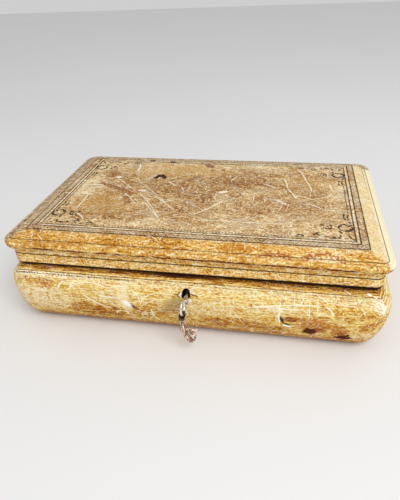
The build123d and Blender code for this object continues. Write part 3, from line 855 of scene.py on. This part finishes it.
# ------------------------------------------------------------------------ lid leather
# A second skin over the lid: brown-mottled beige on top, ochre on the bevel and the
# nosing. Its top is tooled dark with two frames of lines, a dotted roll between them,
# a dotted edging inside, and a scroll with leaves and dots in each corner.
def curl(place, centre, radius, wide, middle, sweep):
    """Part of a ring, thicker at its middle, that opens away from the middle's angle."""
    local = place.moved((-centre[0], -centre[1], 0))
    across = local.dot((cos(middle), sin(middle), 0))
    beside = local.dot((-sin(middle), cos(middle), 0))
    reach = local.node("ShaderNodeVectorMath", {"operation": "LENGTH"}, {0: local}, 1)
    swing = abs(across.math("ARCTAN2", beside, across)) / sweep
    thick = wide * (1.15 - 0.75 * swing)
    return (abs(reach - radius) - thick).step(0.12, -0.12) * swing.step(1.02, 0.98)


frame_half = (120.4, 68.4)
outer_frames = (3.1, 8.4)
roll_middle = 6.3
roll_pitch = 2.9
edge_half = (140.8, 87.05)
edge_corner = 5.0
lid_top = 82.5
bevel_foot = 78.3
nosing_up = 73.2
skirt_line = 64.9
skirt_foot = 56.4
leather_lid, at = finish_of("leather_lid", {"Specular IOR Level": 0.06})
x, y, z = at.parts()
past_x = abs(x) - frame_half[0]
past_y = abs(y) - frame_half[1]
past = past_x.above(past_y)
on_end = past_x.math("GREATER_THAN", past_x, past_y)
along = x + (y - x) * on_end
on_top = z.step(bevel_foot - 0.7, bevel_foot - 0.5)
side = at.node("ShaderNodeCombineXYZ", None, {0: along, 1: z})
ground = at.node("ShaderNodeCombineXYZ", None, {0: x, 1: y})
flat = at.node("ShaderNodeMix", {"data_type": "VECTOR"}, {0: on_top, 4: side, 5: ground}, 1)
cloud = at.noise(30.0, 5, 0.62, 0.4)
mottle = flat.noise(6.5, 6, 0.72, 0.9)
fibre = flat.turned(0.25).spread((0.25, 1, 1)).noise(1.9, 4, 0.72)
fine = flat.noise(1.8, 4, 0.75)
grain = at.noise(0.9, 3)
ragged = flat.noise(3.0, 4, 0.6) - 0.5
wander = mottle - 0.5
wavy = flat.moved(at.node("ShaderNodeCombineXYZ", None, {0: wander * 2, 1: ragged * 1.5}))

# The top: brown in the middle and to the left, rubbed to beige along its frame.
polished = spots(wavy, wander, (
    ((-84.0, -30.0), (22.0, 15.0), -0.2, 1.8, 0.6, 0.6),
    ((20.0, 20.0), (30.0, 16.0), 0.1, 2.0, 0.7, 0.8),
    ((-35.0, -4.0), (30.0, 20.0), 0.4, 2.0, 0.7, 0.75),
    ((78.0, 6.0), (24.0, 16.0), 0.2, 2.0, 0.7, 0.55),
    ((-78.0, -52.0), (16.0, 6.0), 0.0, 1.8, 0.6),
    ((-100.0, 33.0), (9.0, 9.0), 0.0, 1.8, 0.6),
))
rubbed = past.step(-26, -6) * past.step(4.5, 2.0)
rubbed = rubbed.above(blot(wavy, (60.0, -48.0), (50.0, 12.0), wander, 0.05, 2.0, 0.7) * 0.8)
rubbed = rubbed.above(blot(wavy, (-110.0, 15.0), (10.0, 40.0), wander, 0.0, 1.8, 0.7) * 0.8)
tone = cloud * 0.14 + mottle * 0.24 + fibre * 0.28 + fine * 0.34
tone = tone - polished * 0.024 + rubbed * 0.028 - 0.016
brown = tone.ramp(
    (0.400, (0.15, 0.050, 0.010)),
    (0.440, (0.33, 0.150, 0.038)),
    (0.480, (0.50, 0.290, 0.110)),
    (0.520, (0.71, 0.500, 0.245)),
    (0.560, (0.92, 0.760, 0.480)),
    (0.610, (1.00, 0.930, 0.730)),
)
ruddy = flat.noise(17.0, 5, 0.65, 0.6).step(0.50, 0.60)
brown = brown.tint((0.31, 0.120, 0.032), ruddy * fine.step(0.56, 0.44) * 0.55)
faded = flat.moved((60, 90, 0)).noise(15.0, 5, 0.65, 0.6).step(0.52, 0.62)
brown = brown.tint((0.48, 0.370, 0.250), faded * 0.45)
golden = spots(wavy, wander, (
    ((-34.0, 46.0), (34.0, 12.0), 0.05, 2.0, 0.7),
    ((-84.0, -28.0), (22.0, 16.0), -0.2, 1.8, 0.6),
    ((90.0, 30.0), (20.0, 12.0), 0.0, 2.0, 0.7, 0.7),
))
brown = brown.tint((0.62, 0.36, 0.09), golden * 0.42)
greyed = past.step(3.6, 4.6) * cloud.step(0.40, 0.60)
brown = brown.tint((0.62, 0.50, 0.37), greyed * 0.45)
brushed = at.node("ShaderNodeCombineXYZ", None, {0: along, 1: past, 2: z})
brushed = brushed.spread((0.16, 1, 1)).noise(1.1, 5, 0.72)
ochre = (cloud * 0.2 + brushed * 0.42 + fine * 0.38 + x.step(-40, -100) * 0.010 - 0.016).ramp(
    (0.410, (0.30, 0.085, 0.004)),
    (0.445, (0.50, 0.210, 0.018)),
    (0.485, (0.64, 0.330, 0.055)),
    (0.525, (0.82, 0.560, 0.180)),
    (0.570, (0.98, 0.840, 0.450)),
)
off_top = (past + wander * 7).step(7.0, 11.5) * y.step(88, 72)
colour = brown.tint(ochre, off_top)
faces_end = (past_x - past_y + wander * 6).step(-3.0, 3.0)
# Cream on the right end: painted light on the end turned to the lamp.
lit_right_end = past.step(8.4, 9.6) * faces_end * x.step(60, 100)
cream = (mottle * 0.4 + fine * 0.6).ramp((0.42, (0.66, 0.46, 0.18)), (0.56, (0.95, 0.81, 0.50)))
colour = colour.tint(cream, lit_right_end * 0.92)
glare = lit_right_end * past_x.step(17.0, 21.0)
colour = colour.tint((1.0, 0.93, 0.66), glare * 0.7)
# Dull dark-to-pale tones on the left end and the back bevel: painted shade on the faces turned away
# from the lamp.
shaded_left_end = past.step(8.4, 9.6) * faces_end * x.step(-60, -100)
grey = (fibre * 0.4 + fine * 0.3 + brushed * 0.3).ramp(
    (0.42, (0.14, 0.070, 0.030)),
    (0.49, (0.38, 0.240, 0.125)),
    (0.56, (0.84, 0.660, 0.430)),
)
back = past_y.step(6.0, 9.0) * y.step(60, 66)
colour = colour.tint(grey, (shaded_left_end * 0.85).above(back * 0.8))
below = (z + ragged).step(nosing_up + 0.3, nosing_up - 0.3)
skirt = (mottle * 0.20 + brushed * 0.38 + fine * 0.42).ramp(
    (0.410, (0.24, 0.070, 0.004)),
    (0.445, (0.50, 0.200, 0.015)),
    (0.485, (0.66, 0.360, 0.060)),
    (0.530, (0.86, 0.620, 0.240)),
    (0.580, (1.00, 0.920, 0.620)),
)
colour = colour.tint(skirt, below)

marks = fine.step(0.60, 0.68) * 0.6
for lot in (
    ((0, 0), 60, 62, 0.28, 0.008, 0.8, -0.6, 1.6),
    ((23, 41), 42, 44, 0.26, 0.012, 0.8, -0.7, 1.8),
    ((13, 29), 28, 28, 0.32, 0.03, 0.8),
    ((37, 5), 18, 17, 0.32, 0.08, 0.75),
    ((11, 47), 11, 10, 0.28, 0.12, 0.7),
    ((7, 17), 6, 5, 0.28, 0.2, 0.6),
    ((3, 31), 4, 3.4, 0.28, 0.3, 0.5),
):
    marks = cuts(flat, marks, *lot)
colour = colour.tint((0.99, 0.90, 0.66), marks * 0.85)

smear = slash(wavy, (-103.0, 12.5), (-62.0, -10.0), 2.6, ragged * 3, 1.6)
smear = smear.above(slash(wavy, (-69.0, -12.0), (-62.0, -28.5), 2.9, ragged * 3, 0.5) * 0.85)
smear = smear.above(blot(wavy, (-98.0, 34.0), (6.0, 7.0), ragged, 0.3, 2.4, 0.5) * 0.6)
smear = smear.above(blot(wavy, (110.0, 40.0), (4.6, 3.2), ragged, 0.2, 1.6, 0.5) * 0.6)
on_flat = on_top * past.step(7.4, 6.4)
colour = colour.tint((0.24, 0.070, 0.010), smear * on_flat * (0.35 + fine.step(0.60, 0.44) * 0.6))
tide = curl(wavy, (2.0, -7.0), 4.3, 0.75, 1.6, 3.3)
tide = tide.above(curl(wavy, (26.5, -0.5), 4.4, 0.65, -1.0, 3.3))
tide = tide.above(slash(wavy, (0.0, -11.0), (2.0, -20.0), 0.9, ragged, 0.4))
tide = tide.above(blot(wavy, (-16.0, 31.0), (10.0, 2.6), ragged, 0.9, 2.4, 0.4) * 0.7)
tide = tide.above(blot(wavy, (54.0, 21.0), (7.0, 3.0), ragged, -0.4, 2.4, 0.4) * 0.7)
tide = tide.above(blot(wavy, (26.0, 22.5), (8.0, 3.0), ragged, 0.1, 2.4, 0.4) * 0.6)
tide = tide.above(blot(wavy, (49.5, -33.0), (2.0, 1.4), ragged, 0.0, 1.4, 0.4) * 0.8)
tide = tide.above(blot(wavy, (2.0, -7.0), (4.0, 4.0), ragged, 0.0, 0.5) * 0.35)
colour = colour.tint((0.20, 0.055, 0.015), tide * on_flat * 0.75)
stain = spots(wavy, ragged, (
    ((-48.5, 33.0), (4.8, 3.9), 0.1, 1.2, 0.12),
    ((-52.5, 28.5), (2.5, 2.3), 0.2, 1.2, 0.12),
    ((-44.5, 30.0), (2.2, 3.4), 0.2, 1.2, 0.12),
))
stain = stain * (1 - blot(wavy, (-48.5, 28.5), (1.7, 2.0), ragged, 0.0, 1.0) * 0.8)
stain = stain.above(blot(wavy, (-46.0, 69.0), (3.2, 3.0), ragged, 0.0, 1.2))
stain = stain.above(blot(wavy, (-67.5, 70.5), (3.2, 2.8), ragged, 0.0, 1.2) * 0.9)
colour = colour.tint((0.035, 0.006, 0.006), stain * on_top * 0.95)
faint = spots(wavy, ragged, (
    ((-6.5, 61.5), (5.6, 3.6), -0.75, 1.4, 0.12),
    ((-1.5, 50.0), (2.4, 2.0), 0.1, 1.4, 0.12, 0.7),
    ((8.0, 52.5), (2.0, 2.0), 0.1, 1.4, 0.12),
))
colour = colour.tint((0.19, 0.045, 0.010), faint * on_flat * 0.8)
nick = slash(wavy, (-13.5, -28.5), (-15.0, -37.0), 0.5, ragged, 0.2)
colour = colour.tint((0.045, 0.018, 0.008), nick * on_flat * 0.9)
bleached = spots(wavy, ragged, (
    ((15.5, 3.5), (4.0, 2.0), 0.3, 1.4, 0.12),
    ((-88.5, 27.0), (2.6, 2.2), 0.0, 1.6, 0.12, 0.9),
    ((-57.0, -1.0), (4.6, 1.3), -0.2, 1.8, 0.12, 0.8),
))
for start, end, half_wide, bow in (
    ((18, -12), (-2, -40), 0.50, 1.6),
    ((-116, 6), (-97, 9), 0.60, 0.0),
    ((-127, -12), (-98, -12), 0.60, 0.3),
    ((-77, 60), (-75, 42), 0.60, 0.4),
    ((-104, -12), (-103, -40), 0.45, 0.6),
    ((-99, -48), (-89, -58), 0.45, 0.6),
    ((5, -49), (70, -48), 0.35, 0.0),
    ((-38, 20), (-29, 12), 0.45, 0.4),
    ((-68, 21), (-20, -36), 0.20, 1.2),
    ((-58, -6), (-30, -48), 0.26, 1.5),
    ((-58, 4), (-18, -36), 0.20, 0.6),
    ((-71, -7), (-55, -27), 0.24, 0.3),
    ((-91, 16), (-77, 2), 0.20, 0.3),
    ((-83, 19), (-60, -6), 0.20, 0.5),
    ((-90, 26), (-69, 3), 0.20, 0.2),
    ((-48, -24), (-26, -54), 0.24, 0.4),
    ((48, 24), (60, 16), 0.55, 0.8),
    ((66, 38), (70, 16), 0.45, 1.0),
    ((70, 16), (78, -3), 0.45, 0.5),
    ((79, 58), (86, 34), 0.45, 1.2),
    ((86, 34), (91, 12), 0.45, 0.6),
    ((62, -8), (70, -15), 0.60, 0.3),
    ((86, -12), (98, -20), 0.55, 0.8),
    ((100, -21), (109, -22), 0.45, 0.0),
    ((19, 26), (23, 37), 0.45, 0.6),
    ((106, 27), (107, 20), 0.70, 0.3),
):
    bleached = bleached.above(slash(wavy, start, end, half_wide, ragged, bow))
colour = colour.tint((1.0, 0.94, 0.76), bleached * on_flat * 0.88)
tidemark = blot(wavy, (98.0, -94.0), (15.5, 12.5), ragged, 0.0, 1.2)
tideline = tidemark * (1 - blot(wavy, (98.5, -96.0), (12.8, 11.6), ragged, 0.0, 1.2))
second_tide = blot(wavy, (66.0, -97.0), (16.0, 12.5), ragged, 0.0, 1.2)
second_dry = 1 - blot(wavy, (64.5, -99.5), (14.0, 12.0), ragged, 0.0, 1.2)
tideline = tideline.above(second_tide * second_dry)
colour = colour.tint((0.36, 0.075, 0.003), tideline * on_top * 0.85)
dried = tidemark.above(second_tide) * on_top
colour = colour.tint((0.99, 0.86, 0.56), dried * (1 - tideline) * fine.step(0.46, 0.54) * 0.8)
orange = spots(wavy, ragged, (
    ((-29.0, -93.0), (16.0, 6.0), 0.0, 1.8, 0.6),
    ((38.0, -82.0), (14.0, 4.0), 0.1, 1.8, 0.6),
    ((-95.0, -90.0), (16.0, 4.0), 0.1, 1.8, 0.6),
))
colour = colour.tint((0.50, 0.160, 0.005), orange * off_top * fine.step(0.58, 0.44) * 0.7)

worn_off = mottle.step(0.66, 0.54)
rules = abs(past).step(0.62, 0.34)
rules = rules.above(abs(past - outer_frames[0]).step(0.62, 0.34))
rules = rules.above(abs(past - outer_frames[1]).step(0.58, 0.30))
band = past - roll_middle
roll = dots(along, band * 1.4, roll_pitch, 0.85)
between = along + roll_pitch / 2
roll = roll.above(dots(between, (abs(band) - 1.0) * 1.3, roll_pitch, 0.50))
roll = roll * (1 - on_end * (0.35 + y.step(-45, 0) * 0.35))
pearled = dots(between, band * 1.3, roll_pitch, 0.85)
on_long = 1 - on_end
edging = dots(along, past + 2.1, 2.4, 0.60) * on_long * abs(x).step(77, 75)
edging = edging.above(abs(past + 2.6).step(0.5, 0.25) * on_end * abs(y).step(27, 25) * 0.8)
across, beside, _ = wavy.parts()
arm = at.node("ShaderNodeCombineXYZ", None, {0: abs(across), 1: abs(beside)})
fringe = ragged * 0.4
ornament = blot(arm, (116.7, 62.0), (2.7, 0.75), fringe, 1.17)
for centre, half, turn in (
    ((118.8, 65.6), (1.0, 0.6), 0.7),
    ((109.4, 64.1), (1.4, 0.75), 2.0),
    ((113.7, 64.9), (1.1, 0.7), 0.2),
    ((105.5, 64.0), (1.6, 1.0), 0.0),
    ((99.9, 63.6), (1.5, 0.75), -0.6),
    ((110.3, 61.4), (1.6, 0.70), 1.2),
    ((91.9, 60.4), (2.2, 0.85), 2.2),
    ((94.6, 61.6), (1.4, 0.70), 0.4),
    ((92.6, 64.6), (1.2, 0.80), 0.0),
    ((88.2, 64.8), (1.5, 0.75), 0.1),
    ((83.2, 63.3), (1.7, 0.90), 0.6),
    ((80.4, 62.7), (1.9, 0.90), -0.5),
    ((79.0, 65.2), (1.7, 0.80), 0.3),
    ((82.4, 65.8), (1.5, 0.70), 0.0),
    ((118.1, 41.0), (1.6, 0.85), 1.2),
    ((117.6, 45.6), (2.2, 0.85), 2.2),
    ((110.2, 55.4), (1.8, 1.00), 1.0),
    ((114.2, 29.6), (3.0, 0.80), 1.65),
    ((114.6, 34.8), (2.2, 0.85), 1.2),
    ((117.1, 30.4), (2.8, 0.80), 1.8),
    ((117.3, 35.4), (2.0, 0.80), 1.3),
    ((97.7, 46.2), (1.8, 1.05), 0.2),
    ((103.8, 46.4), (1.4, 0.90), -0.5),
    ((101.6, 48.4), (1.4, 0.70), 1.2),
    ((97.3, 52.4), (0.9, 0.80), 0.0),
):
    ornament = ornament.above(blot(arm, centre, half, fringe, turn))
for scroll in (
    ((105.3, 60.6), 4.6, 0.60, pi / 2, 1.2),
    ((95.4, 59.5), 2.0, 0.65, 2.6, 2.2),
    ((114.6, 48.6), 5.2, 0.65, pi, 2.2),
    ((114.4, 48.9), 5.0, 0.95, 0.75, 1.4),
    ((113.4, 46.6), 2.2, 0.70, 3.9, 2.2),
    ((115.6, 50.8), 2.0, 0.70, 1.2, 1.8),
    ((101.4, 48.8), 2.9, 0.75, 1.2, 1.8),
):
    ornament = ornament.above(curl(arm, *scroll))
corner = at.node("ShaderNodeCombineXYZ", None, {
    0: (abs(x) - edge_half[0] + edge_corner).above(0.0),
    1: (abs(y) - edge_half[1] + edge_corner).above(0.0),
})
reach = corner.node("ShaderNodeVectorMath", {"operation": "LENGTH"}, {0: corner}, 1)
edge_rule = abs(reach - edge_corner).step(0.50, 0.2)
second_rule = abs(reach - edge_corner + 2.6).step(0.30, 0.1) * x.step(80, 120) * y.step(0, 60)
lit = abs(past - 1.5).step(0.9, 0.4).above(pearled * 0.9) * z.step(lid_top - 0.5, lid_top - 0.3)
colour = colour.tint((1.0, 0.91, 0.68), lit * fine.step(0.40, 0.54) * 0.6)
tooled = (rules * (0.65 + worn_off * 0.35)).above(roll * worn_off * 0.6)
tooled = tooled.above(edging.above(ornament) * (0.35 + worn_off * 0.65))
tooled = tooled * z.step(lid_top - 0.8, lid_top - 0.6)
tooled = tooled.above(edge_rule.above(second_rule) * on_top * 0.85)
tooled = tooled.above(abs(z - skirt_line).step(0.62, 0.30))
colour = colour.tint((0.030, 0.014, 0.006), tooled * 0.9)
ridge_gap = flat.spread((0.3, 1, 1)).noise(4.0, 4).step(0.36, 0.50)
worn_edge = abs(z - nosing_up + ragged * 3.0).step(1.15, 0.55) * ridge_gap
colour = colour.tint((0.115, 0.012, 0.002), worn_edge * 0.95)
# Near black along the skirt's lower edge: painted shade of the gap between lid and base.
skirt_gap_shade = (z + ragged * 0.8 - x * 0.004).step(skirt_foot + 1.6, skirt_foot + 0.9)
colour = colour.tint((0.016, 0.006, 0.004), skirt_gap_shade * (1 - on_top))
turned_in = cloud * 0.5 + grain * 0.5
turned_in = turned_in.ramp((0.42, (0.085, 0.033, 0.013)), (0.58, (0.20, 0.09, 0.036)))
colour = colour.tint(turned_in, past.step(15.5, 14.0) * z.step(56.0, 55.0))
put_on(
    leather_lid,
    colour,
    0.48 + cloud * 0.2 + marks * 0.15,
    grain * 0.4 + mottle * 0.4 + fibre * 0.3 - marks * 0.35 - tooled * 0.7,
    0.35,
)
dress(leather_lid, "lid_leather")

# -------------------------------------------------------------------- floor and light
# A plain pale floor, a large soft lamp high on the right and an even pale surround.
bpy.ops.mesh.primitive_plane_add(size=6)
floor = bpy.context.object
floor.name = "floor"
pale, at = finish_of("pale_floor", {"Specular IOR Level": 0.1})
tone = at.noise(400, 1).ramp((0, (0.80, 0.80, 0.80)), (1, (0.84, 0.84, 0.84)))
put_on(pale, tone, at.noise(90, 1) * 0.1 + 0.8)
floor.data.materials.append(pale)

lamp_place = Vector((0.62, -0.85, 1.2))
lamp_aim = Vector((0, 0, 0.03))
lamp_watts = 14
lamp_size = 0.9
surround_strength = 0.62
lamp_data = bpy.data.lights.new("soft_lamp", "AREA")
lamp_data.size = lamp_size
lamp_data.energy = lamp_watts
lamp = bpy.data.objects.new("soft_lamp", lamp_data)
lamp.location = lamp_place
lamp.rotation_euler = (lamp_aim - lamp_place).to_track_quat("-Z", "Y").to_euler()
scene.collection.objects.link(lamp)
surround = bpy.data.worlds.new("surround")
surround.use_nodes = True
sky = surround.node_tree.nodes["Background"]
sky.inputs["Color"].default_value = (1, 1, 1, 1)
sky.inputs["Strength"].default_value = surround_strength
scene.world = surround
scene.view_settings.view_transform = "Standard"
